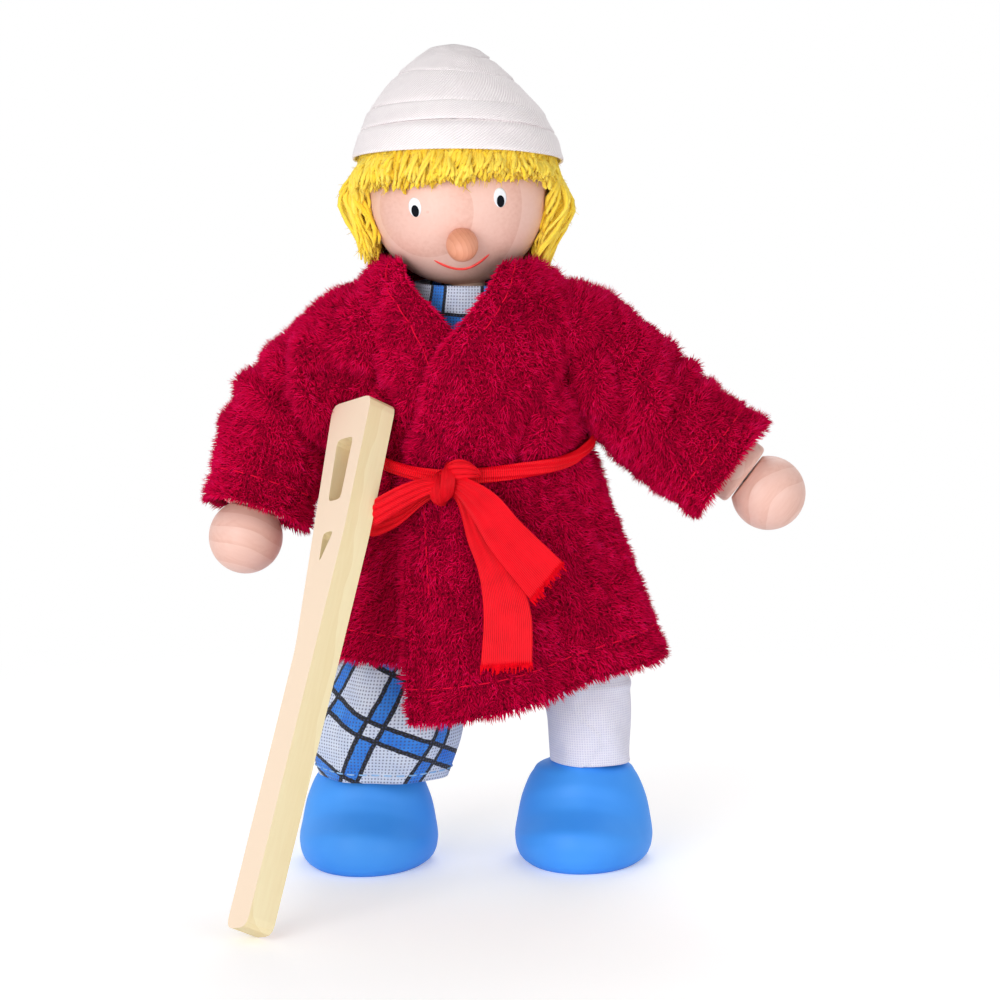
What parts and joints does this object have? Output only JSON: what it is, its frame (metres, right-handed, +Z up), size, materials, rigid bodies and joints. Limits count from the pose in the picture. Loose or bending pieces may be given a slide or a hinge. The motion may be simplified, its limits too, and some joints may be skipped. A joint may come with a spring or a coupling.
{
  "type": "bendable doll",
  "caption": "Small bendable doll dressed as a patient: turned wooden head, hands and shoes on wire limbs, terry robe with ribbon sash, wound head bandage, leg cast and a wooden crutch.",
  "frame": {"origin": "on the surface that the shoes stand on, under the middle of the whole doll with its crutch", "axes": "+Z up, the doll faces -Y, its own left is +X"},
  "size_m": [0.0856, 0.065, 0.1181],
  "materials": {
    "bare_wood": "turned and lacquered satin",
    "nose_wood": "turned, darker, satin",
    "crutch_wood": "sawn plywood, sanded",
    "painted_wood": "sky-blue satin paint",
    "wire": "drawn wire",
    "wrap_cotton": "wound cotton",
    "robe_terry": "crimson terry pile",
    "sash_ribbon": "ribbed ribbon",
    "hair_yarn": "wool yarn",
    "bandage_cotton": "woven gauze strip",
    "cast_gauze": "folded gauze",
    "pyjama_cotton": "blue plaid open weave"
  },
  "bodies": {
    "torso": {"torso_block": "bare_wood", "neck_dowel": "bare_wood", "leg_wire_root_right": "wire", "leg_wire_root_left": "wire", "pyjama_shirt": "pyjama_cotton", "trouser_seat": "pyjama_cotton", "robe_bodice": "robe_terry", "robe_skirt": "robe_terry", "belt_sash": "sash_ribbon"},
    "head": {"head_ball": "bare_wood", "nose_peg": "nose_wood", "hair_wig": "hair_yarn", "head_bandage": "bandage_cotton"},
    "shoulder_right": {"shoulder_wire_right": "wire"},
    "upper_arm_right": {"upper_arm_wire_right": "wire", "upper_arm_wrap_right": "wrap_cotton", "robe_sleeve_upper_right": "robe_terry"},
    "forearm_right": {"forearm_wire_right": "wire", "forearm_wrap_right": "wrap_cotton", "wrist_collar_right": "bare_wood", "hand_right": "bare_wood", "robe_sleeve_lower_right": "robe_terry"},
    "shoulder_left": {"shoulder_wire_left": "wire"},
    "upper_arm_left": {"upper_arm_wire_left": "wire", "upper_arm_wrap_left": "wrap_cotton", "robe_sleeve_upper_left": "robe_terry"},
    "forearm_left": {"forearm_wire_left": "wire", "forearm_wrap_left": "wrap_cotton", "wrist_collar_left": "bare_wood", "hand_left": "bare_wood", "robe_sleeve_lower_left": "robe_terry"},
    "thigh_right": {"thigh_wire_right": "wire", "thigh_wrap_right": "wrap_cotton", "trouser_thigh_right": "pyjama_cotton"},
    "shin_right": {"shin_wire_right": "wire", "shin_wrap_right": "wrap_cotton", "trouser_shin_right": "pyjama_cotton", "shoe_right": "painted_wood"},
    "thigh_left": {"thigh_wire_left": "wire", "thigh_wrap_left": "wrap_cotton", "trouser_thigh_left": "pyjama_cotton"},
    "shin_left": {"shin_wire_left": "wire", "shin_wrap_left": "wrap_cotton", "leg_cast_left": "cast_gauze", "shoe_left": "painted_wood"},
    "crutch": {"crutch": "crutch_wood"}
  },
  "joints": [
    {"name": "head_turn", "type": "hinge", "parent": "torso", "child": "head", "pos_m": [-0.00681, 0.0161, 0.0973], "axis": [-0.1132, 0, 0.9936], "range_deg": [-60, 60]},
    {"name": "arm_swing_right", "type": "hinge", "parent": "torso", "child": "shoulder_right", "pos_m": [-0.01857, 0.0161, 0.0782], "axis": [-1, 0, 0], "range_deg": [-75, 110]},
    {"name": "arm_raise_right", "type": "hinge", "parent": "shoulder_right", "child": "upper_arm_right", "pos_m": [-0.01857, 0.0161, 0.0782], "axis": [0, 1, 0], "range_deg": [-15, 75], "deforming": ["robe_sleeve_upper_right"]},
    {"name": "elbow_right", "type": "hinge", "parent": "upper_arm_right", "child": "forearm_right", "pos_m": [-0.03128, 0.01903, 0.06669], "axis": [-0.9537, 0, 0.3008], "range_deg": [-40, 65], "deforming": ["robe_sleeve_lower_right"]},
    {"name": "arm_swing_left", "type": "hinge", "parent": "torso", "child": "shoulder_left", "pos_m": [0.00843, 0.0161, 0.0782], "axis": [-1, 0, 0], "range_deg": [-75, 110]},
    {"name": "arm_raise_left", "type": "hinge", "parent": "shoulder_left", "child": "upper_arm_left", "pos_m": [0.00843, 0.0161, 0.0782], "axis": [0, -1, 0], "range_deg": [-15, 75], "deforming": ["robe_sleeve_upper_left"]},
    {"name": "elbow_left", "type": "hinge", "parent": "upper_arm_left", "child": "forearm_left", "pos_m": [0.02121, 0.01453, 0.06649], "axis": [-0.5977, 0, -0.8017], "range_deg": [-60, 90], "deforming": ["robe_sleeve_lower_left"]},
    {"name": "hip_right", "type": "hinge", "parent": "torso", "child": "thigh_right", "pos_m": [-0.01157, 0.0161, 0.041], "axis": [-1, 0, 0], "range_deg": [-30, 45], "deforming": ["trouser_thigh_right"]},
    {"name": "knee_right", "type": "hinge", "parent": "thigh_right", "child": "shin_right", "pos_m": [-0.01596, 0.0161, 0.02823], "axis": [1, 0, 0], "range_deg": [0, 85], "deforming": ["trouser_shin_right"]},
    {"name": "hip_left", "type": "hinge", "parent": "torso", "child": "thigh_left", "pos_m": [0.00144, 0.0161, 0.041], "axis": [-1, 0, 0], "range_deg": [-30, 80], "deforming": ["trouser_thigh_left", "robe_skirt"]},
    {"name": "knee_left", "type": "hinge", "parent": "thigh_left", "child": "shin_left", "pos_m": [0.01131, 0.0161, 0.03179], "axis": [1, 0, 0], "range_deg": [0, 65]},
    {"name": "crutch_slide", "type": "slide", "parent": "torso", "child": "crutch", "axis": [0, -1, 0], "range_m": [0, 0.06]}
  ]
}
